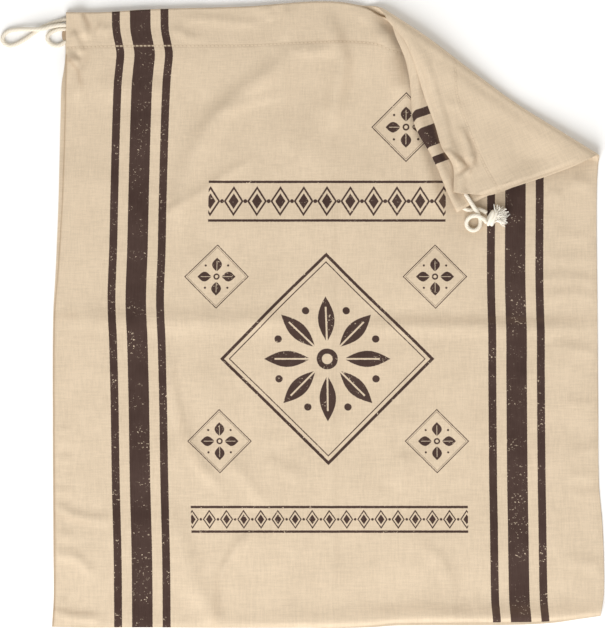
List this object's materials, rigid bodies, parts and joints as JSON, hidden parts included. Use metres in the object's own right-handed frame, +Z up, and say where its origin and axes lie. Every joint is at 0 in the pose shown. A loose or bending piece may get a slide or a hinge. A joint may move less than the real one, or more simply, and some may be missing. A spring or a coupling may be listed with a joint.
{
  "type": "drawstring bread bag",
  "caption": "Flat cotton drawstring bag for bread, lying on its back with one top corner folded over to the front.",
  "frame": {"origin": "middle of the bag's underside, on the surface that it lies on", "axes": "+X across the bag towards the folded corner, +Y from the sewn bottom to the mouth, +Z up out of the printed front"},
  "size_m": [0.4403, 0.4573, 0.014],
  "materials": {
    "cotton": "matt plain-woven cotton",
    "cord": "matt twisted cotton cord"
  },
  "bodies": {
    "root": {"front_panel": "cotton", "back_panel": "cotton", "drawstring_loop": "cord", "drawstring_small_loop": "cord", "drawstring_back_end": "cord", "drawstring_front_end": "cord", "drawstring_knot": "cord", "drawstring_tuft": "cord"}
  },
  "joints": []
}
